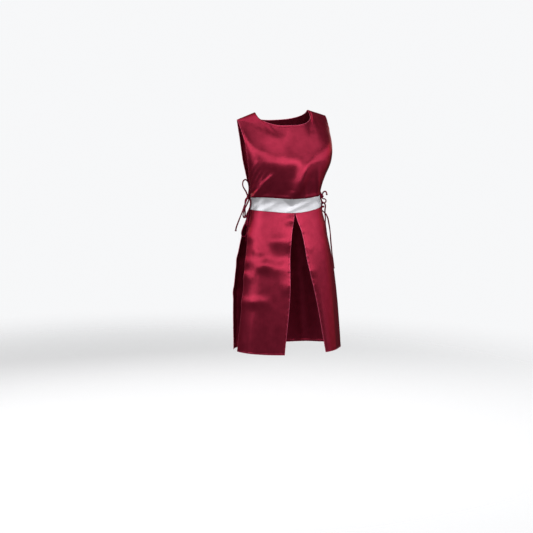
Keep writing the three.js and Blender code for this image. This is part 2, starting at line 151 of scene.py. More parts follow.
# The largest folds, which the solids have too: from x, z to x, z, width, height
MAIN_FOLDS = {
    "front": [
        (-134, -316, -88, -232, 10, 6),
        (-140, -292, -108, -210, 8, 3.5),
        (0, -286, 50, -158, 22, 11),
        (0, -286, -36, -332, 19, 11),
        (108, -318, 84, -196, 11, 4),
        (-12, -40, -62, -176, 17, 2.5),
    ],
    "right_skirt": [
        (-84, -468, -20, -472, 24, 3),
        (-14, -526, -116, -534, 34, -5.5),
        (-14, -634, -78, -642, 24, 3),
        (-190, -698, -100, -692, 20, 3.5),
    ],
    "left_skirt": [
        (118, -890, 40, -420, 22, 4),
        (188, -890, 150, -430, 30, -5),
    ],
    "back": [
        (-128, -322, -54, -220, 13, 5),
        (122, -324, 60, -232, 12, 4),
        (-10, -330, 8, -170, 24, -4),
    ],
    "back_skirt": [
        (-122, -890, -92, -380, 30, 8),
        (10, -890, -2, -400, 32, -8),
        (124, -890, 88, -390, 30, 7),
    ],
}

# Finer creases on each piece. The places are the share of the way across from the wearer's right
# and the height. A crease is highest at its first point. It fans out by spread and fades out
# towards its second.
CREASES = {
    # across, height, across, height, width, height of crease, spread
    "front_bodice": [
        (0.05, -312, 0.29, -222, 8, 7.5, 1.0),
        (0.49, -292, 0.61, -168, 24, 4.5, 1.0),
        (0.02, -306, 0.18, -208, 4.5, 2.4, 1.6),
        (0.01, -276, 0.15, -192, 5, 2.4, 1.7),
        (0.00, -246, 0.13, -178, 5, 2.0, 1.7),
        (0.05, -316, 0.30, -268, 5, 1.5, 1.8),
        (0.08, -317, 0.36, -296, 6, 1.2, 1.8),
        (0.80, -318, 0.70, -226, 5, 1.9, 1.4),
        (0.88, -312, 0.80, -180, 6, 1.9, 1.6),
        (0.97, -308, 0.93, -210, 6, 1.8, 1.4),
        (0.62, -318, 0.58, -262, 8, 1.4, 1.2),
        (0.12, -50, 0.40, -116, 17, 1.5, 1.7),
        (0.88, -50, 0.62, -120, 17, 1.5, 1.7),
        (0.50, -62, 0.41, -158, 15, 1.6, 1.2),
        (0.66, -72, 0.60, -146, 15, -1.3, 1.2),
        (0.02, -38, 0.26, -44, 9, 1.2, 1.2),
        (0.98, -60, 0.84, -40, 9, 1.2, 1.2),
    ],
    "back_bodice": [
        (0.03, -312, 0.26, -230, 7, 4.6, 1.3),
        (0.01, -292, 0.20, -196, 7, 2.4, 1.7),
        (0.97, -306, 0.74, -226, 7, 4.0, 1.3),
        (0.99, -286, 0.80, -190, 7, 1.5, 1.6),
        (0.40, -314, 0.33, -214, 9, 1.8, 1.5),
        (0.60, -312, 0.67, -204, 10, 1.6, 1.5),
        (0.18, -64, 0.44, -130, 13, 1.5, 1.6),
        (0.84, -60, 0.58, -138, 13, 1.5, 1.6),
    ],
    "front_skirt_right": [
        (0.99, -396, 0.76, -398, 18, 3.0, 1.1),
        (0.00, -460, 0.36, -464, 20, 2.8, 1.2),
        (0.30, -508, 0.62, -516, 18, 2.2, 1.1),
        (0.02, -554, 0.36, -548, 18, 2.2, 1.1),
        (0.50, -560, 0.88, -572, 24, 2.8, 1.0),
        (0.50, -560, 0.24, -566, 22, 2.4, 1.0),
        (0.00, -606, 0.34, -600, 20, 3.4, 1.2),
        (0.28, -688, 0.56, -686, 14, 1.0, 1.2),
        (0.34, -885, 0.30, -730, 13, 1.4, 1.0),
        (0.74, -885, 0.72, -690, 14, 1.5, 1.0),
        (0.54, -885, 0.52, -780, 11, -0.8, 1.0),
    ],
    "front_skirt_left": [
        (0.02, -430, 0.22, -440, 14, 0.9, 1.2),
        (0.00, -496, 0.20, -502, 14, 1.2, 1.2),
        (0.01, -584, 0.24, -592, 15, 1.2, 1.2),
        (0.98, -372, 0.58, -446, 10, 1.2, 1.8),
        (0.86, -885, 0.92, -500, 14, 1.8, 1.0),
        (0.44, -885, 0.52, -600, 14, 1.4, 1.0),
    ],
    "back_skirt": [
        (0.00, -446, 0.30, -454, 20, 2.8, 1.2),
        (1.00, -430, 0.74, -436, 18, 2.6, 1.2),
        (0.46, -500, 0.74, -510, 22, 2.8, 1.0),
        (0.46, -500, 0.20, -506, 22, 2.6, 1.0),
        (1.00, -548, 0.70, -556, 20, 2.8, 1.1),
        (0.00, -566, 0.26, -560, 20, 2.8, 1.2),
        (0.40, -612, 0.64, -618, 22, 2.6, 1.0),
        (0.40, -612, 0.22, -610, 20, 2.4, 1.0),
        (1.00, -668, 0.74, -664, 18, 2.8, 1.2),
        (0.02, -374, 0.26, -456, 8, 1.8, 1.9),
        (0.98, -364, 0.76, -452, 8, 1.8, 1.9),
        (0.42, -372, 0.40, -600, 12, 1.8, 1.6),
        (0.60, -376, 0.63, -660, 12, 1.8, 1.6),
        (0.08, -885, 0.11, -540, 14, 1.8, 1.0),
        (0.92, -885, 0.89, -520, 14, 1.8, 1.0),
    ],
    "front_band": [
        (0.02, -368, 0.24, -306, 8, 1.6, 1.5),
        (0.14, -372, 0.38, -318, 8, 1.0, 1.3),
        (0.44, -362, 0.84, -308, 8, 0.9, 1.4),
        (0.98, -340, 0.80, -306, 7, 0.9, 1.4),
    ],
    "back_band": [
        (0.02, -362, 0.26, -314, 7, 1.0, 1.5),
        (0.98, -354, 0.78, -312, 7, 1.0, 1.4),
        (0.54, -360, 0.38, -318, 9, 0.7, 1.3),
    ],
}
CREASE_POINTS = 7

# Panels
PANELS = {
    # name: main folds, the hem besides right and left, satin, steps across where there are
    # shoulders, then the cloth that shows, laid flat, in metres: width, length, and area where it
    # isn't a rectangle
    "front_bodice": ("front", "neck", "satin_red", FRONT_ACROSS, 0.51, 0.38, 0.128),
    "back_bodice": ("back", "neck", "satin_red", BACK_ACROSS, 0.424, 0.345, 0.106),
    "front_band": ("front", None, "satin_white", None, 0.395, 0.05, None),
    "back_band": ("back", None, "satin_white", None, 0.302, 0.05, None),
    "front_skirt_right": ("right_skirt", "bottom", "satin_red", None, 0.205, 0.53, 0.103),
    "front_skirt_left": ("left_skirt", "bottom", "satin_red", None, 0.194, 0.546, 0.098),
    "back_skirt": ("back_skirt", "bottom", "satin_red", None, 0.466, 0.536, 0.223),
}

# Cloth
CLOTH = 0.7
MESH_STEP = 3.2
HEM_TURN = 9
HEM_EXTRA = 0.8
# The turned layer ends in a step this much before the turn's full width, over this width
HEM_STEP_BEFORE, HEM_STEP_WIDTH = 1, 0.4
STITCH_INSET = 7
STITCH_GROOVE = 0.35
STITCH_GROOVE_WIDTH = 0.9
# A bodice's cloth, gathered into its bottom seam, swells beside it and lies flat at the seam itself
SEAM_SWELL = 0.9
SEAM_SWELL_AT = 7
SEAM_SWELL_WIDTH = 4.5
SEAM_FLAT = 2
# A hem puckers in waves of several lengths
PUCKER = 0.28
PUCKER_AT = 4
PUCKER_WIDTH = 4.5
PUCKER_PHASE = 1.3
PUCKER_WAVES = [
    # share, length, shift
    (0.5, 2.9, 1),
    (0.35, 4.7, 2.1),
    (0.4, 9.3, 3.7),
]
UNEVENNESS = 0.3
UNEVEN_CELL = 30
UNEVEN_LATTICE = 24
UNEVEN_SEED = 11
# The mesh's first rows and columns, in from an edge, and how many rows are measured for its width
EDGE_PLACES = [0, 0.25, 0.75, 1.5, 3, 4.6, 6, STITCH_INSET, 8, 9.5, 11.5]
ROWS_MEASURED = 8
FAR = 1000
STITCH_PITCH = 3.4
STITCH_LENGTH = 2.5
STITCH_WIDTH = 0.5
# A stitch is a spindle: its two ends are points 0 and 1, and its middle has points 2 to 5
STITCH_FACES = [
    (0, 2, 4), (0, 4, 3), (0, 3, 5), (0, 5, 2), (1, 4, 2), (1, 3, 4), (1, 5, 3), (1, 2, 5),
]
# The floats bend over a hem's folded edge, so it catches light from all round. This is painted: a
# paler highlight colour, less metallic, within this width of a hem
PAINTED_RIM_WIDTH = 2.2
PAINTED_RIM_METALLIC = 0.15

# Satin and thread
SATINS = {
    # name: dark, light, roughness, metallic, colour of the painted highlight on a folded edge
    "satin_red": ((0.2, 0.013, 0.031), (0.27, 0.019, 0.043), 0.3, 0.82, (0.62, 0.09, 0.17)),
    "satin_white": ((0.46, 0.46, 0.485), (0.55, 0.55, 0.58), 0.3, 0.4, (0.7, 0.7, 0.73)),
    "cord_satin": ((0.10, 0.003, 0.013), (0.17, 0.007, 0.024), 0.4, 0.45, (0.3, 0.03, 0.06)),
}
# Fineness over a metre of cloth
FLOATS_ACROSS, FLOATS_ALONG = 2600, 240
DYE_PATCHES = 38
FLOAT_DETAIL, DYE_DETAIL = 2, 3
FLOAT_SHARE = 0.35
FLOAT_BUMP, FLOAT_HEIGHT = 0.16, 0.06
RAMP_FROM, RAMP_TO = 0.3, 0.7
GLOSSIER, DULLER = 0.03, 0.05
SPECULAR = 0.3
ANISOTROPY = 0.4
THREAD_COLOUR = (0.12, 0.004, 0.014)
THREAD_DARKER = 0.75
THREAD_TWISTS = 2200
THREAD_ROUGHNESS = 0.55

# Cords
# The ties are narrow turned strips, pressed a little flat, that twist as they hang
CORD_DIAMETER = 5
CORD_WIDTH = 5.8
CORD_FLATNESS = 0.78
CORD_TWIST = 2 * math.pi / 170
CORD_SIDES = 12
CORD_STEP = 1.5
CORD_END = 0.3
CURVE_STEPS = 24
# The strip's seam, a dent along its back, as shares of the radius and in radians
SEAM_DENT, SEAM_DENT_WIDTH = 0.1, 0.35
# Directions that no cord starts or ends in
ASIDE_AT_START, ASIDE_AT_END = (0.3, 0.2, 1), (0.2, 1, 0.1)
# The turn of a tied knot
TURN_COUNT = 2.2
TURN_POINTS = 110
TURN_RADIUS = 7.1
TURN_DRIFT, TURN_DRIFT_FROM = 0.35, 0.6
TURN_SPACING, TURN_CROSSING = 1.9, 1.3
TURN_WAVE, TURN_WAVES = 0.2, 1.5
TURN_THICKNESS = 3.5
# The knot at a free end: a loop of three leaves
LEAF_SIZE = 1.35
LEAF_NEAR, LEAF_FAR, LEAF_DEEP = 0.62, 1.24, 1.1
LEAF_POINTS = 73
LEAF_THICKNESS = 3
KNOT_SIDES = 10
KNOTS = {
    # x, y, z of the middle, the side that is outward, upright
    "right_upper": (-138, -22, -316, -1, False),
    "right_lower": (-138, -16, -393, -1, True),
    "left_upper": (147, -38, -319, 1, True),
    "left_lower": (150, -37, -358, 1, True),
}
# Routes from the sewn end, through the knot and back, to the free end, as outward, backward and
# upward from the middle of the knot
TIES = {
    "right_upper_front": ("right_upper", [
        (-2.6, -20.8, 1.7), (-2.3, -13, 2.5), (-2.5, -4, 2.5), (-2.5, 4, 2.5), (-2.8, 10, 4.5),
        (-4, 14, 12), (-6, 14, 28), (-5, 14, 46), (0, 14, 58), (8, 15, 64), (15, 17, 60),
        (18, 18, 50), (17, 17, 39), (12, 15.5, 29), (6.5, 13, 19), (3, 9.5, 8), (2.5, 4, 2.5),
        (2.5, -4, 2.5), (5, -10.5, 2.5), (11.5, -15, -3), (17, -15, -14), (22, -12, -30),
        (28, -8, -50), (35, -2, -72), (41, 5, -93), (46, 11, -112), (47.5, 14, -124),
    ]),
    "right_upper_back": ("right_upper", [
        (-9.8, 20.2, -0.3), (-7, 15, -1.6), (-3.4, 9, -2.5), (-2.5, 4, -2.5), (-2.5, -4, -2.5),
        (-2.8, -9.5, -4.5), (-3.2, -12, -12), (-1.5, -11.5, -27), (2, -10, -42), (8, -8, -56),
        (12, -6, -67), (16, -5, -74), (22, -4.5, -74.5), (25, -4.5, -66), (23, -5.5, -54),
        (17, -7.5, -38), (10, -10, -22), (5, -11, -10), (2.5, -4, -2.5), (2.5, 4, -2.5),
        (4.5, 10, -4), (8.5, 13.5, -11), (10, 15, -24), (10, 16, -40), (9, 17, -56), (9, 18, -72),
    ]),
    "right_lower_front": ("right_lower", [
        (-3.2, -13.8, 31), (-3.1, -9, 29.5), (-2.9, -5, 24), (-2.5, -2.8, 15), (-2.5, -2.5, 4),
        (-2.5, -2.5, -4), (-1.5, -2.5, -14), (1, -3, -28), (2.5, -3, -42), (4, -2, -54),
        (8, 0, -64), (16, 3, -70), (23, 5, -66), (25, 5, -57), (22, 4, -44), (16, 2, -30),
        (9, -0.5, -17), (4, -2, -9), (2.5, -2.5, -4), (2.5, -2.5, 4), (3.2, -4, 10.5), (4, -9, 14),
        (5, -15.5, 11), (8, -19.5, 4), (10.5, -20.5, -5), (12, -21, -16), (13.5, -21.5, -27),
    ]),
    "right_lower_back": ("right_lower", [
        (-6.4, 14.5, 27), (-5.8, 10.5, 26), (-4.6, 6.5, 20.5), (-3, 3.6, 13), (-2.5, 2.5, 4),
        (-2.5, 2.5, -4), (-2, 4, -14), (-1, 7, -27), (1, 10, -42), (3, 12, -58), (4, 13, -74),
        (4, 14, -88),
    ]),
    "left_upper_front": ("left_upper", [
        (-16.6, -7.2, 17), (-15.4, -4.4, 18.4), (-11.5, -2.5, 19.5), (-6.5, -1.8, 17.5),
        (-3.2, -2, 12), (-2.5, -2.5, 4), (-2.5, -2.5, -4), (-2.4, -4, -12), (0, -7.5, -20),
        (6, -10.5, -24), (12.5, -11, -21), (14.5, -10, -14.5), (10.5, -7.5, -9.5),
        (5.2, -4.2, -8.5), (2.5, -2.5, -4), (2.5, -2.5, 4), (3.6, -3, 11), (8, -4.5, 17.5),
        (13.5, -6, 18.5), (17.5, -7, 13.5), (18.5, -7.5, 7),
    ]),
    "left_upper_back": ("left_upper", [
        (-24.9, 35.8, 8.3), (-20.5, 28.5, 12), (-14.5, 19.5, 14.5), (-8, 11, 14.5), (-4, 5, 11),
        (-2.5, 2.5, 4), (-2.5, 2.5, -4), (0, 5, -12), (4.5, 9, -22), (7, 12.5, -35),
        (7, 14.5, -48), (6, 16, -64), (6, 17, -80), (7, 17, -95),
    ]),
    "left_lower_front": ("left_lower", [
        (-15.1, -5.8, 11.9), (-15, -2.5, 10.5), (-13.8, 0, 5), (-12.5, 0.5, -4),
        (-10.5, -0.2, -11.5), (-6.5, -1.4, -15), (-3.2, -2.4, -11), (-2.5, -2.5, -4),
        (-2.5, -2.5, 4), (-1.6, -2.6, 10), (2.5, -4, 14), (8, -5, 12.5), (11.2, -5, 6),
        (11.6, -4.6, -3), (10.4, -4, -14), (11, -3.4, -28), (13, -3, -44), (12.4, -2.6, -58),
        (13.6, -2.4, -74), (16, -2.5, -90), (17.4, -2, -101),
    ]),
    "left_lower_back": ("left_lower", [
        (-19.7, 35.4, -1), (-16, 28, 4), (-11, 18.5, 10), (-6, 10, 12), (-3.2, 4.4, 9.5),
        (-2.5, 2.5, 4), (-2.5, 2.5, -4), (-0.6, 3.8, -10.5), (8, 6, -19), (18, 7.5, -27),
        (26.5, 8, -42), (31, 8, -60), (35, 8, -80), (38, 8, -102), (40, 8, -126), (42.5, 8, -150),
        (45.5, 8, -176), (49.5, 8, -204), (53.5, 8, -235),
    ]),
}


# Camera, lights and floor

def make_camera():
    data = bpy.data.cameras.new("camera")
    data.sensor_width = SENSOR
    data.lens = SENSOR * FOCAL_PIXELS / PHOTO_PIXELS
    camera = bpy.data.objects.new("camera", data)
    bpy.context.collection.objects.link(camera)
    middle = PHOTO_PIXELS / 2
    turn = CAMERA_AZIMUTH + math.atan((AXIS_PIXEL - middle) / FOCAL_PIXELS)
    pitch = math.atan((middle - HORIZON_PIXEL) / FOCAL_PIXELS)
    camera.location = (
        CAMERA_DISTANCE * math.sin(CAMERA_AZIMUTH),
        -CAMERA_DISTANCE * math.cos(CAMERA_AZIMUTH) - CAMERA_SET_FORWARD,
        0,
    )
    ahead = Vector((
        -math.sin(turn) * math.cos(pitch),
        math.cos(turn) * math.cos(pitch),
        -math.sin(pitch),
    ))
    camera.rotation_mode = "QUATERNION"
    camera.rotation_quaternion = ahead.to_track_quat("-Z", "Y")
    bpy.context.scene.camera = camera


def area_light(name, place, target, width, height, watts):
    data = bpy.data.lights.new(name, "AREA")
    data.shape = "RECTANGLE"
    data.size = width
    data.size_y = height
    data.energy = watts
    light = bpy.data.objects.new(name, data)
    bpy.context.collection.objects.link(light)
    light.location = place
    light.rotation_mode = "QUATERNION"
    light.rotation_quaternion = (Vector(target) - Vector(place)).to_track_quat("-Z", "Y")
    light.visible_camera = False


def make_lights():
    for name, azimuth, watts in SOFT_BOXES:
        turn = math.radians(azimuth)
        place = (BOX_DISTANCE * math.sin(turn), -BOX_DISTANCE * math.cos(turn), BOX_MIDDLE)
        area_light(name, place, (0, 0, BOX_MIDDLE), BOX_WIDTH, BOX_HEIGHT, watts)
    for light in FILL_LIGHTS:
        area_light(*light)


def make_surroundings():
    world = bpy.data.worlds.new("studio")
    world.use_nodes = True
    nodes, links = world.node_tree.nodes, world.node_tree.links
    lit = with_values(nodes["Background"], {"Color": WHITE, "Strength": WORLD_LIGHT})
    seen = with_values(nodes.new("ShaderNodeBackground"), {"Color": (*BACKDROP, 1)})
    path = nodes.new("ShaderNodeLightPath")
    mix = nodes.new("ShaderNodeMixShader")
    links.new(path.outputs["Is Camera Ray"], mix.inputs["Fac"])
    links.new(lit.outputs["Background"], mix.inputs[1])
    links.new(seen.outputs["Background"], mix.inputs[2])
    links.new(mix.outputs["Shader"], nodes["World Output"].inputs["Surface"])
    bpy.context.scene.world = world
    bpy.context.scene.view_settings.view_transform = "Standard"
    make_floor()


def make_floor():
    """A pale floor that fades into the backdrop with distance."""
    bpy.ops.mesh.primitive_circle_add(
        vertices=FLOOR_SIDES, radius=FLOOR_RADIUS, fill_type="NGON",
        location=(0, FLOOR_BEHIND, FLOOR_HEIGHT))
    floor = bpy.context.object
    floor.name = "floor"
    pale, tree, shader = shader_of("pale_floor")
    link = tree.links.new
    with_values(shader, {
        "Base Color": (*FLOOR_COLOUR, 1), "Emission Color": WHITE,
        "Emission Strength": FLOOR_GLOW, "Roughness": FLOOR_ROUGHNESS,
    })
    place = tree.nodes.new("ShaderNodeTexCoord")
    far = tree.nodes.new("ShaderNodeVectorMath")
    far.operation = "LENGTH"
    fade = with_values(
        tree.nodes.new("ShaderNodeMapRange"), {"From Min": FLOOR_SOLID, "From Max": FLOOR_GONE})
    fade.interpolation_type = "SMOOTHSTEP"
    clear = tree.nodes.new("ShaderNodeBsdfTransparent")
    mix = tree.nodes.new("ShaderNodeMixShader")
    link(place.outputs["Object"], far.inputs[0])
    link(far.outputs["Value"], fade.inputs["Value"])
    link(fade.outputs["Result"], mix.inputs["Fac"])
    link(shader.outputs["BSDF"], mix.inputs[1])
    link(clear.outputs["BSDF"], mix.inputs[2])
    link(mix.outputs["Shader"], tree.nodes["Material Output"].inputs["Surface"])
    floor.data.materials.append(pale)
    floor.visible_glossy = False


# Materials

def shader_of(name):
    material = bpy.data.materials.new(name)
    material.use_nodes = True
    return material, material.node_tree, material.node_tree.nodes["Principled BSDF"]


def with_values(node, values):
    """A node, with values for its sockets."""
    for name, value in values.items():
        node.inputs[name].default_value = value
    return node


def noise(tree, coordinates, scale, detail, stretch=(1, 1, 1)):
    link = tree.links.new
    mapping = with_values(tree.nodes.new("ShaderNodeMapping"), {"Scale": stretch})
    texture = with_values(tree.nodes.new("ShaderNodeTexNoise"), {"Scale": scale, "Detail": detail})
    link(coordinates, mapping.inputs["Vector"])
    link(mapping.outputs["Vector"], texture.inputs["Vector"])
    return texture.outputs["Fac"]


def ramp(tree, value, dark, light):
    """A colour from dark to light as a value rises."""
    link = tree.links.new
    node = tree.nodes.new("ShaderNodeValToRGB")
    for element, place, colour in zip(
            node.color_ramp.elements, (RAMP_FROM, RAMP_TO), (dark, light)):
        element.position = place
        element.color = (*colour, 1)
    link(value, node.inputs["Fac"])
    return node.outputs["Color"]


def socket_of(sockets, name):
    """The socket in use, of a node that has hidden ones with the same name."""
    return next(socket for socket in sockets if socket.enabled and socket.name == name)


def painted_edge_highlight(tree, shader, colour, metallic, painted_rim):
    """A painted highlight on the folded edges of hems: there the colour is paler and less like a
    mirror than the cloth.
    """
    link = tree.links.new
    painted_rim_mask = tree.nodes.new("ShaderNodeAttribute")
    painted_rim_mask.attribute_name = "painted_rim"
    mix = tree.nodes.new("ShaderNodeMix")
    mix.data_type = "RGBA"
    link(painted_rim_mask.outputs["Fac"], socket_of(mix.inputs, "Factor"))
    link(colour, socket_of(mix.inputs, "A"))
    socket_of(mix.inputs, "B").default_value = (*painted_rim, 1)
    link(socket_of(mix.outputs, "Result"), shader.inputs["Base Color"])
    mirror = with_values(
        tree.nodes.new("ShaderNodeMapRange"), {"To Min": metallic, "To Max": PAINTED_RIM_METALLIC})
    link(painted_rim_mask.outputs["Fac"], mirror.inputs["Value"])
    link(mirror.outputs["Result"], shader.inputs["Metallic"])


def satin(name, dark, light, roughness, metallic, painted_rim):
    """Satin: long warp floats catch the light, and the dye varies a little from thread to thread."""
    material, tree, shader = shader_of(name)
    link = tree.links.new
    cloth = tree.nodes.new("ShaderNodeUVMap")
    cloth.uv_map = "weave"
    floats = noise(tree, cloth.outputs["UV"], 1, FLOAT_DETAIL, (FLOATS_ACROSS, FLOATS_ALONG, 1))
    dye = noise(tree, cloth.outputs["UV"], DYE_PATCHES, DYE_DETAIL)
    blend = with_values(tree.nodes.new("ShaderNodeMix"), {"Factor": FLOAT_SHARE})
    link(dye, blend.inputs["A"])
    link(floats, blend.inputs["B"])
    colour = ramp(tree, blend.outputs["Result"], dark, light)
    # Paints a highlight along the hems' folded edges: a paler colour and less metallic there
    painted_edge_highlight(tree, shader, colour, metallic, painted_rim)
    gloss = with_values(
        tree.nodes.new("ShaderNodeMapRange"),
        {"To Min": roughness - GLOSSIER, "To Max": roughness + DULLER})
    link(blend.outputs["Result"], gloss.inputs["Value"])
    link(gloss.outputs["Result"], shader.inputs["Roughness"])
    with_values(shader, {
        "Specular IOR Level": SPECULAR, "Specular Tint": (*light, 1), "Anisotropic": ANISOTROPY,
    })
    tangent = tree.nodes.new("ShaderNodeTangent")
    tangent.direction_type = "UV_MAP"
    tangent.uv_map = "weave"
    link(tangent.outputs["Tangent"], shader.inputs["Tangent"])
    bump = with_values(
        tree.nodes.new("ShaderNodeBump"), {"Strength": FLOAT_BUMP, "Distance": FLOAT_HEIGHT * MM})
    link(floats, bump.inputs["Height"])
    link(bump.outputs["Normal"], shader.inputs["Normal"])
    return material


def thread(name, colour):
    """Sewing thread: matt, with its twist as fine bands."""
    material, tree, shader = shader_of(name)
    link = tree.links.new
    place = tree.nodes.new("ShaderNodeTexCoord")
    twist = noise(tree, place.outputs["Object"], THREAD_TWISTS, FLOAT_DETAIL)
    dark = tuple(THREAD_DARKER * share for share in colour)
    link(ramp(tree, twist, dark, colour), shader.inputs["Base Color"])
    with_values(shader, {"Roughness": THREAD_ROUGHNESS})
    return material


# The form of the cloth

def signed_power(values, power):
    return np.sign(values) * np.abs(values) ** power


def eased(share):
    """A share from 0 to 1 that starts and ends gently."""
    return share * share * (3 - 2 * share)


def cubic(here, there, leave, arrive, share):
    """From one value to another, with the slopes at which it leaves and arrives."""
    return (
        here + leave * share
        + (3 * there - 3 * here - 2 * leave - arrive) * share ** 2
        + (2 * here - 2 * there + leave + arrive) * share ** 3
    )


def read_off(places, known_places, points):
    """Points at places along a line, from those at its known places."""
    return np.stack([np.interp(places, known_places, points[:, axis]) for axis in range(3)], axis=-1)


def length_of(vectors):
    return np.linalg.norm(vectors, axis=-1)


def lift_at(index, degrees, on_back):
    right, half_right, half_left, left, back_right, back_left = LIFTS[index]
    if on_back:
        from_middle = (degrees + 180) / 90
        return np.where(from_middle > 0, back_right, back_left) * from_middle ** 2
    heights = np.array([right, right, half_right, 0, half_left, left, left], float)
    spans = len(heights) - 3
    place = (np.clip(degrees, -90, 90) + 90) / 180 * spans
    start = np.minimum(place.astype(int), spans - 1)
    before, here, there, after = (heights[start + step] for step in range(4))
    return cubic(here, there, (there - before) / 2, (after - here) / 2, place - start)


def form_points(index, degrees, on_back):
    height, right, left, back, front_depth, back_depth, shift_x, shift_y, square = LEVELS[index]
    across, ahead = np.sin(np.radians(degrees)), np.cos(np.radians(degrees))
    width = back if on_back else np.where(across < 0, right, left)
    depth = np.where(ahead > 0, front_depth, back_depth)
    x = shift_x + width * signed_power(across, 2 / square)
    y = shift_y - depth * signed_power(ahead, 2 / square)
    tilt = CHEST_TILT if index == 0 else 0
    z = height + lift_at(index, degrees, on_back) + tilt * x
    return np.stack([x, y, z], axis=-1)


def lengths_along(line):
    """How far along a polyline each of its points is."""
    return np.concatenate([[0], np.cumsum(length_of(np.diff(line, axis=0)))])


def resampled(line, places):
    """Points at the given lengths along a polyline."""
    return read_off(places, lengths_along(line), line)


def line_length(line):
    return length_of(np.diff(line, axis=0)).sum()


def evenly(line, steps):
    return resampled(line, np.linspace(0, line_length(line), steps + 1))


def level_row(index, start, end, on_back, across, finer):
    degrees = np.linspace(start, end, across * finer * OVERSAMPLED + 1)
    return evenly(form_points(index, degrees, on_back), across * finer)


def top_row(on_back, across, finer):
    drop = NECK["back_drop"] if on_back else NECK["front_drop"]
    reach = NECK["back_reach"] if on_back else -NECK["front_reach"]
    seam_steps = round(across * SHOULDER_SHARE) * finer
    tip_x, tip_z = SHOULDER_TIP

    def seam(end):
        neck_x = end * NECK["half_width"] + NECK["shift"]
        return evenly(np.array([(end * tip_x, 0, tip_z), (neck_x, 0, 0)], float), seam_steps)

    angle = np.pi * (np.linspace(0, 1, across * finer * OVERSAMPLED + 1) - 0.5)
    down = np.maximum(0, np.cos(angle)) ** (2 / NECK_SQUARENESS)
    side = signed_power(np.sin(angle), 2 / NECK_SQUARENESS)
    scoop = np.stack([
        side * NECK["half_width"] + NECK["shift"], reach * down ** NECK_SET_BACK, -drop * down,
    ], axis=-1)
    neckline = evenly(scoop, across * finer - 2 * seam_steps)[1:-1]
    row = np.concatenate([seam(-1), neckline, seam(1)[::-1]])
    row[:, 2] += SHOULDER_TILT * row[:, 0]
    return row


def beyond_top(rows, other_chest):
    """Beyond the top row the cloth runs over the shoulder, and at the neckline straight on."""
    top, chest = rows[-1], rows[-2]
    straight = top + STRAIGHT_ON * (top - chest)
    share = np.linspace(0, 1, len(top))
    over = read_off(share, np.linspace(0, 1, len(other_chest)), other_chest)
    from_middle = np.abs(share - 0.5) / (0.5 - SHOULDER_SHARE)
    mix = np.clip((from_middle - OVER_SHOULDER_FROM) / (1 - OVER_SHOULDER_FROM), 0, 1)
    return straight + (over - straight) * eased(mix)[:, None]


def upper_rows(on_back, across, finer):
    rows = []
    for index in range(BAND_BOTTOM + 1, -1, -1):
        right, left, back = EDGES[index][:3]
        start, end = (-back, -360 + back) if on_back else (right, left)
        rows.append(level_row(index, start, end, on_back, across, finer))
    rows.append(top_row(on_back, across, finer))
    return rows


def skirt_rows(side, across, finer):
    rows = []
    for index in range(HEM, BAND_TOP - 1, -1):
        right, left, back, slit_right, slit_left = EDGES[max(index, BAND_BOTTOM)]
        start, end = {
            "right": (right, slit_right),
            "left": (slit_left, left),
            "back": (back - 360, -back),
        }[side]
        rows.append(level_row(index, start, end, side == "back", across, finer))
    return rows


def smooth_rows(rows, steps):
    """Rows of a smooth surface: each column is a centripetal Catmull-Rom curve through the rows."""
    padded = [2 * rows[0] - rows[1], *rows, 2 * rows[-1] - rows[-2]]
    smooth = []
    for before, here, there, after in zip(padded, padded[1:], padded[2:], padded[3:]):
        gaps = [np.sqrt(length_of(b - a))[:, None] for a, b in
                ((before, here), (here, there), (there, after))]
        first, middle, last = gaps
        leave = middle * (
            (here - before) / first - (there - before) / (first + middle) + (there - here) / middle)
        arrive = middle * (
            (there - here) / middle - (after - here) / (middle + last) + (after - there) / last)
        smooth += [cubic(here, there, leave, arrive, share) for share in np.arange(steps) / steps]
    smooth.append(rows[-1])
    return np.array(smooth)


def grid_normals(grid):
    normals = np.cross(np.gradient(grid, axis=1), np.gradient(grid, axis=0))
    return normals / np.maximum(length_of(normals)[..., None], TINY)


def nearest_on_line(points, line):
    """Each point's distance from a polyline, and how far along it its nearest place is."""
    start, step = line[:-1], np.diff(line, axis=0)
    step_length = np.maximum(length_of(step), TINY)
    flat = points.reshape(-1, 3)
    share = np.clip(((flat @ step.T) - (start * step).sum(-1)) / step_length ** 2, 0, 1)
    away = np.sqrt(np.maximum(0, sum(
        (flat[:, axis, None] - start[:, axis] - share * step[:, axis]) ** 2 for axis in range(3))))
    best = away.argmin(axis=1)
    each = np.arange(len(flat))
    before = np.concatenate([[0], np.cumsum(step_length)])
    along = before[best] + share[each, best] * step_length[best]
    return away[each, best].reshape(points.shape[:-1]), along.reshape(points.shape[:-1])


def main_fold_heights(points, folds):
    flat = points * (1, 0, 1)
    ridges = np.zeros(points.shape[:-1])
    troughs = np.zeros(points.shape[:-1])
    for x1, z1, x2, z2, width, height in folds:
        line = np.array([(x1, 0, z1), (x2, 0, z2)], float)
        away, along = nearest_on_line(flat, line)
        fade = 1 - (along / line_length(line)) ** 2
        fold = height * fade * np.exp(-((away / width) ** 2))
        ridges = np.maximum(ridges, fold)
        troughs = np.minimum(troughs, fold)
    return ridges + troughs


def place_on(base, share, height):
    """The point of a surface at a share of the way across and a height."""
    column = base[:, round(share * (base.shape[1] - 1))]
    row = np.argmin(np.abs(column[:, 2] - height))
    return column[row]


def crease_heights(points, base, creases):
    heights = np.zeros(points.shape[:-1])
    for share1, height1, share2, height2, width, height, spread in creases:
        line = np.array([
            place_on(base, share1 + (share2 - share1) * t, height1 + (height2 - height1) * t)
            for t in np.linspace(0, 1, CREASE_POINTS)
        ])
        away, along = nearest_on_line(points, line)
        done = along / line_length(line)
        fan = 1 + (spread - 1) * done
        heights += height * (1 - done ** 2) * np.exp(-((away / (width * fan)) ** 2))
    return heights


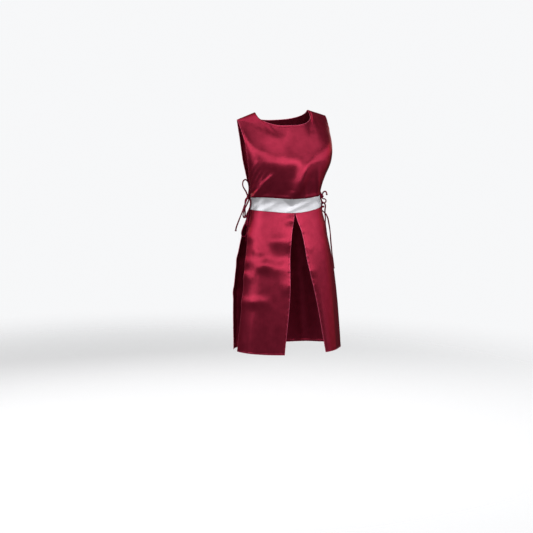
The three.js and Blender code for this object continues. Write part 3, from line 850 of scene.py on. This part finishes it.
def uneven(points):
    """Soft unevenness from a seeded lattice of heights, smoothly interpolated."""
    size = UNEVEN_LATTICE
    lattice = np.random.default_rng(UNEVEN_SEED).uniform(-1, 1, (size, size, size))
    place = points / UNEVEN_CELL + size / 2
    low = np.floor(place).astype(int)
    share = eased(place - low)
    total = np.zeros(points.shape[:-1])
    for corner in np.ndindex(2, 2, 2):
        weight = np.prod(np.where(corner, share, 1 - share), axis=-1)
        x, y, z = (np.mod(low[..., axis] + corner[axis], size) for axis in range(3))
        total += weight * lattice[x, y, z]
    return total


# Thin cloth with turned hems

def edge_spread(length, middle_steps):
    """Places along a length, close together near both ends."""
    ends = np.array(EDGE_PLACES, float)
    middle = np.linspace(ends[-1], length - ends[-1], middle_steps + 1)
    return np.concatenate([ends[:-1], middle, (length - ends[:-1])[::-1]])


def cloth_grid(base, step):
    """A surface's points, spaced by step inside and closer at its edges."""
    columns = [base[:, i] for i in range(base.shape[1])]
    longest = max(line_length(column) for column in columns)
    along = round(longest / step)
    upright = np.stack(
        [resampled(column, edge_spread(line_length(column), along)) for column in columns], axis=1)
    widest = max(line_length(row) for row in upright[:: len(upright) // ROWS_MEASURED])
    across = round(widest / step)
    return np.stack([resampled(row, edge_spread(line_length(row), across)) for row in upright])


def neck_corners(grid, base, across):
    """The columns of the top row where the neckline starts and ends."""
    share = round(across * SHOULDER_SHARE) / across
    lengths = lengths_along(grid[-1])
    corner = line_length(base[-1, : round(share * (base.shape[1] - 1)) + 1])
    first, last = (
        int(np.argmin(np.abs(lengths - place))) for place in (corner, lengths[-1] - corner))
    return first, last


def border_lines(grid, corners):
    """The borders as polylines: hems and seams."""
    lines = {"bottom": grid[0], "top": grid[-1], "right": grid[:, 0], "left": grid[:, -1]}
    if corners is not None:
        first, last = corners
        lines["shoulder_right"] = grid[-1, : first + 1]
        lines["neck"] = grid[-1, first : last + 1]
        lines["shoulder_left"] = grid[-1, last:]
        del lines["top"]
    return lines


def pucker(along, phase):
    return sum(share * np.sin(along / length + shift * phase) for share, length, shift in PUCKER_WAVES)


def edge_heights_and_distances(grid, lines, hems, phase):
    """Puckers and swells near borders, and each point's distance from any border and from a hem."""
    heights = np.zeros(grid.shape[:2])
    edge_distance = hem_distance = FAR
    for number, (border, line) in enumerate(lines.items()):
        away, along = nearest_on_line(grid, line)
        edge_distance = np.minimum(edge_distance, away)
        if border in hems:
            hem_distance = np.minimum(hem_distance, away)
            near = np.exp(-(((away - PUCKER_AT) / PUCKER_WIDTH) ** 2))
            heights += PUCKER * near * pucker(along, phase + number)
        elif border == "bottom" and "neck" in hems:
            swell = np.exp(-(((away - SEAM_SWELL_AT) / SEAM_SWELL_WIDTH) ** 2))
            heights += SEAM_SWELL * swell * (1 - np.exp(-((away / SEAM_FLAT) ** 2)))
    return heights, edge_distance, hem_distance


def rounded(distance, half):
    """How far a rounded edge falls in from the full thickness."""
    share = np.clip(1 - distance / half, 0, 1)
    return half * (1 - np.sqrt(np.maximum(0, 1 - share ** 2)))


def mesh_object(name, vertices, faces, material, uv=None, painted_rim=None):
    """A smooth-shaded mesh from points in millimetres."""
    mesh = bpy.data.meshes.new(name)
    mesh.from_pydata((vertices * MM).tolist(), [], faces)
    # The weight of the painted highlight along the hems, read by the satin
    if painted_rim is not None:
        mesh.attributes.new("painted_rim", "FLOAT", "POINT").data.foreach_set("value", painted_rim)
    if uv is not None:
        layer = mesh.uv_layers.new(name="weave")
        loops = np.empty(len(mesh.loops), np.int32)
        mesh.loops.foreach_get("vertex_index", loops)
        layer.data.foreach_set("uv", (uv[loops] * MM).ravel())
    mesh.polygons.foreach_set("use_smooth", [True] * len(mesh.polygons))
    mesh.materials.append(material)
    piece = bpy.data.objects.new(name, mesh)
    bpy.context.collection.objects.link(piece)
    return piece


def both_sides(outer, inner):
    """Values of a shell's outer points, then of its inner points inside the border they share."""
    size = outer.shape[2:]
    return np.concatenate([outer.reshape(-1, *size), inner[1:-1, 1:-1].reshape(-1, *size)])


def shell_faces(rows, columns):
    """Quads of an outer and an inner grid that share their border points."""
    outer = np.arange(rows * columns).reshape(rows, columns)
    inner = outer.copy()
    inner[1:-1, 1:-1] = rows * columns + np.arange((rows - 2) * (columns - 2)).reshape(
        rows - 2, columns - 2)
    front = np.stack(
        [outer[:-1, :-1], outer[:-1, 1:], outer[1:, 1:], outer[1:, :-1]], axis=-1).reshape(-1, 4)
    back = np.stack(
        [inner[:-1, :-1], inner[1:, :-1], inner[1:, 1:], inner[:-1, 1:]], axis=-1).reshape(-1, 4)
    return np.concatenate([front, back]).tolist()


def weave_places(points):
    """Each point's place on the cloth laid flat: across from the middle, and upward."""
    across = np.stack([lengths_along(row) for row in points])
    across -= across[:, points.shape[1] // 2][:, None]
    upward = np.stack([lengths_along(points[:, i]) for i in range(points.shape[1])], axis=1)
    return np.stack([across, upward], axis=-1)


def stitch_rows(name, lines, material):
    """Straight stitches along lines of points and normals, each a short spindle of thread."""
    vertices, faces = [], []
    for points, normals in lines:
        places = np.arange(STITCH_PITCH, line_length(points) - STITCH_PITCH, STITCH_PITCH)
        starts = resampled(points, places)
        ends = resampled(points, places + STITCH_LENGTH)
        ups = read_off(places + STITCH_LENGTH / 2, lengths_along(points), normals)
        ups /= length_of(ups)[:, None]
        sides = np.cross(ends - starts, ups)
        sides *= STITCH_WIDTH / 2 / length_of(sides)[:, None]
        middles = (starts + ends) / 2
        lift = ups * STITCH_WIDTH / 2
        for row in zip(starts - lift, ends - lift, middles - sides, middles + sides,
                       middles + lift, middles - lift):
            faces += [[len(vertices) + corner for corner in face] for face in STITCH_FACES]
            vertices += row
    return mesh_object(name, np.array(vertices), faces, material)


def inset_line(points, distance, columns):
    """For each column, from the top down, the first place that lies a stitch's inset from an edge."""
    rows = []
    for column in columns:
        ahead = distance[::-1, column]
        past = np.argmax(ahead >= STITCH_INSET)
        share = (STITCH_INSET - ahead[past - 1]) / (ahead[past] - ahead[past - 1])
        row = len(ahead) - 1 - past
        if past:
            rows.append((row + 1 - share, column))
    place = np.array(rows)
    low = place[:, 0].astype(int)
    share = (place[:, 0] - low)[:, None]
    column = place[:, 1].astype(int)
    return points[low, column] * (1 - share) + points[low + 1, column] * share


def sewn_lines(grid, outer, normals, lines, hems):
    """The lines of stitches, each as points and normals: side hems, bottom hem and neckline."""
    rows, columns = grid.shape[:2]
    inset = EDGE_PLACES.index(STITCH_INSET)
    places = {
        "right": np.s_[inset:rows, inset],
        "left": np.s_[inset:rows, columns - 1 - inset],
        "bottom": np.s_[inset, inset : columns - inset],
    }
    sewn = [(outer[place], normals[place]) for hem, place in places.items() if hem in hems]
    if "neck" in hems:
        away, _ = nearest_on_line(grid, lines["neck"])
        chosen = range(inset, columns - inset)
        sewn.append([inset_line(values, away, chosen) for values in (outer, normals)])
    return sewn


def make_panel(name, base, folds, hems, material, stitch_material, across, phase):
    """A panel of thin cloth on its solid's form, with its folds, creases, hems and stitches."""
    grid = cloth_grid(base, MESH_STEP)
    corners = None if across is None else neck_corners(grid, base, across)
    lines = border_lines(grid, corners)
    heights, edge_distance, hem_distance = edge_heights_and_distances(grid, lines, hems, phase)
    heights += main_fold_heights(grid, folds)
    heights += crease_heights(grid, base, CREASES[name])
    heights += UNEVENNESS * uneven(grid)
    points = grid + grid_normals(grid) * heights[..., None]
    normals = grid_normals(points)
    turned = 1 / (1 + np.exp((hem_distance - HEM_TURN + HEM_STEP_BEFORE) / HEM_STEP_WIDTH))
    thickness = CLOTH + HEM_EXTRA * turned
    groove = STITCH_GROOVE * np.exp(-(((hem_distance - STITCH_INSET) / STITCH_GROOVE_WIDTH) ** 2))
    fall = rounded(edge_distance, thickness / 2)
    outer = points - normals * (fall + groove)[..., None]
    inner = points - normals * (thickness - fall)[..., None]
    places = weave_places(points)
    # The painted highlight along the hems: full at the folded edge, fading out a short width in
    painted_rim = np.clip(1 - hem_distance / PAINTED_RIM_WIDTH, 0, 1)
    piece = mesh_object(
        name + "_cloth", both_sides(outer, inner), shell_faces(*grid.shape[:2]), material,
        both_sides(places, places), both_sides(painted_rim, painted_rim))
    sewn = sewn_lines(grid, outer, normals, lines, hems)
    return piece, stitch_rows(name + "_stitches", sewn, stitch_material)


# Cords

def curve_points(route, step):
    """Points along a smooth curve through a route, about a step apart."""
    rows = smooth_rows([np.array([point], float) for point in route], CURVE_STEPS)[:, 0]
    return evenly(rows, round(line_length(rows) / step))


def tube(path, radius, sides, squash=1.0, seam=0.0, twist=0.0):
    """Vertices, faces and surface coordinates of a tube along a path."""
    ahead = np.gradient(path, axis=0)
    ahead /= length_of(ahead)[:, None]
    across = np.cross(ahead[0], ASIDE_AT_START)
    vertices, uv = [], []
    run = 0.0
    for number, (point, forward) in enumerate(zip(path, ahead)):
        across = across - forward * across.dot(forward)
        across /= np.linalg.norm(across)
        up = np.cross(forward, across)
        if number:
            run += np.linalg.norm(point - path[number - 1])
        wide = across * math.cos(twist * run) + up * math.sin(twist * run)
        flat = up * math.cos(twist * run) - across * math.sin(twist * run)
        for side in range(sides):
            angle = 2 * math.pi * side / sides
            dent = 1 - seam * math.exp(-((angle - math.pi) / SEAM_DENT_WIDTH) ** 2)
            spoke = wide * math.cos(angle) + flat * squash * math.sin(angle)
            vertices.append(point + spoke * radius * dent)
            uv.append((angle * CORD_DIAMETER / 2, run))
    rings = len(path)
    faces = []
    for ring in range(rings - 1):
        for side in range(sides):
            beside = (side + 1) % sides
            a, b = ring * sides + side, ring * sides + beside
            faces.append((a, b, b + sides, a + sides))
    vertices = np.array(vertices)
    first, last = len(vertices), len(vertices) + 1
    tips = [path[0] - CORD_END * ahead[0], path[-1] + CORD_END * ahead[-1]]
    vertices = np.concatenate([vertices, tips])
    uv += [(0, 0), (0, run)]
    end = (rings - 1) * sides
    for side in range(sides):
        beside = (side + 1) % sides
        faces.append((beside, side, first))
        faces.append((end + side, end + beside, last))
    return vertices, faces, np.array(uv)


def tube_object(name, path, radius, sides, material, **shape):
    vertices, faces, uv = tube(path, radius, sides, **shape)
    return mesh_object(name, vertices, faces, material, uv)


def end_knot(name, path, material):
    """An overhand knot at a cord's free end: a three-leaved loop drawn tight round the cord."""
    ahead = path[-1] - path[-3]
    ahead /= np.linalg.norm(ahead)
    side = np.cross(ahead, ASIDE_AT_END)
    side /= np.linalg.norm(side)
    up = np.cross(ahead, side)
    angle = np.linspace(0, 2 * math.pi, LEAF_POINTS)
    out = LEAF_SIZE * (LEAF_NEAR * np.sin(angle) + LEAF_FAR * np.sin(2 * angle))
    over = LEAF_SIZE * (LEAF_NEAR * np.cos(angle) - LEAF_FAR * np.cos(2 * angle))
    deep = -LEAF_DEEP * np.sin(3 * angle)
    loop = path[-1] + out[:, None] * side + over[:, None] * up + deep[:, None] * ahead
    return tube_object(name, loop, LEAF_THICKNESS / 2, KNOT_SIDES, material)


def wrap(name, knot, material):
    """The turn of a tied knot: a little over two turns of cord, drawn flat round the strands."""
    x, y, z, _, upright = knot
    middle = TURN_COUNT * math.pi
    angle = np.linspace(0, 2 * middle, TURN_POINTS)
    radius = TURN_RADIUS + TURN_DRIFT * np.sin(angle / 2 + TURN_DRIFT_FROM)
    along = TURN_SPACING * np.tanh((angle - middle) / TURN_CROSSING)
    along += TURN_WAVE * np.sin(TURN_WAVES * angle)
    side, over = radius * np.cos(angle), radius * np.sin(angle)
    back, up = (over, along) if upright else (along, over)
    path = np.stack([x + side, y + back, z + up], axis=-1)
    return tube_object(name, path, TURN_THICKNESS / 2, KNOT_SIDES, material)


def make_cords(material):
    turns = {}
    for name, knot in KNOTS.items():
        turns[name] = wrap("turn_" + name, knot, material)
        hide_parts("knot_" + name)
    made = list(turns.values())
    for name, (knot, route) in TIES.items():
        x, y, z, outward, _ = KNOTS[knot]
        places = [(x + outward * out, y + back, z + up) for out, back, up in route]
        path = curve_points(places, CORD_STEP)
        piece = tube_object(
            "cord_" + name, path, CORD_WIDTH / 2, CORD_SIDES, material,
            squash=CORD_FLATNESS, seam=SEAM_DENT, twist=CORD_TWIST)
        knot_piece = end_knot("end_knot_" + name, path, material)
        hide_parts("tie_" + name)
        made += [piece, knot_piece]
    for piece in made:
        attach(piece, "root")


# Panels

def upper_surfaces():
    """The smooth front and back, from the level below the band to beyond the shoulders."""
    front_rows = upper_rows(False, FRONT_ACROSS, FINER)
    back_rows = upper_rows(True, BACK_ACROSS, FINER)
    front_chest, back_chest = front_rows[-2], back_rows[-2]
    front_rows.append(beyond_top(front_rows, back_chest))
    back_rows.append(beyond_top(back_rows, front_chest))
    back_rows = [row[::-1] for row in back_rows]
    return smooth_rows(front_rows, ROW_STEPS), smooth_rows(back_rows, ROW_STEPS)


def cut(surface, first, last):
    return surface[first * ROW_STEPS : last * ROW_STEPS + 1]


def trimmed(base, bottom, top):
    """A surface with a length left off the bottom and top of each column."""
    columns = []
    for i in range(base.shape[1]):
        column = base[:, i]
        total = line_length(column)
        columns.append(resampled(column, np.linspace(bottom, total - top, len(column))))
    return np.stack(columns, axis=1)


def skirt(side, across):
    """A skirt panel's surface, from its hem to the gap under the band."""
    rows = skirt_rows(side, across, SKIRT_FINER)
    return trimmed(cut(smooth_rows(rows, ROW_STEPS), 0, HEM - BAND_BOTTOM), 0, SEAM_GAP / 2)


def between_seams(surface, first, last):
    return trimmed(cut(surface, first, last), SEAM_GAP / 2, SEAM_GAP / 2)


def panel_surfaces():
    front, back = upper_surfaces()
    return {
        "front_bodice": between_seams(front, BAND_TO, SHOULDERS),
        "back_bodice": between_seams(back, BAND_TO, SHOULDERS),
        "front_band": between_seams(front, BAND_FROM, BAND_TO),
        "back_band": between_seams(back, BAND_FROM, BAND_TO),
        "front_skirt_right": skirt("right", SKIRT_ACROSS),
        "front_skirt_left": skirt("left", SKIRT_ACROSS),
        "back_skirt": skirt("back", BACK_SKIRT_ACROSS),
    }


def make_panels(satins, stitch_material):
    surfaces = panel_surfaces()
    for number, (name, row) in enumerate(PANELS.items()):
        folds, other_hem, slot, across, width, length, area = row
        piece, stitches = make_panel(
            name, surfaces[name], MAIN_FOLDS[folds], ("right", "left", other_hem), satins[slot],
            stitch_material, across, PUCKER_PHASE * number)
        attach(piece, "root")
        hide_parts(name)
        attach(stitches, "root")


# Making it all

make_camera()
satins = {name: satin(name, *look) for name, look in SATINS.items()}
red_thread = thread("red_thread", THREAD_COLOUR)
make_cords(satins["cord_satin"])
make_lights()
make_surroundings()
make_panels(satins, red_thread)
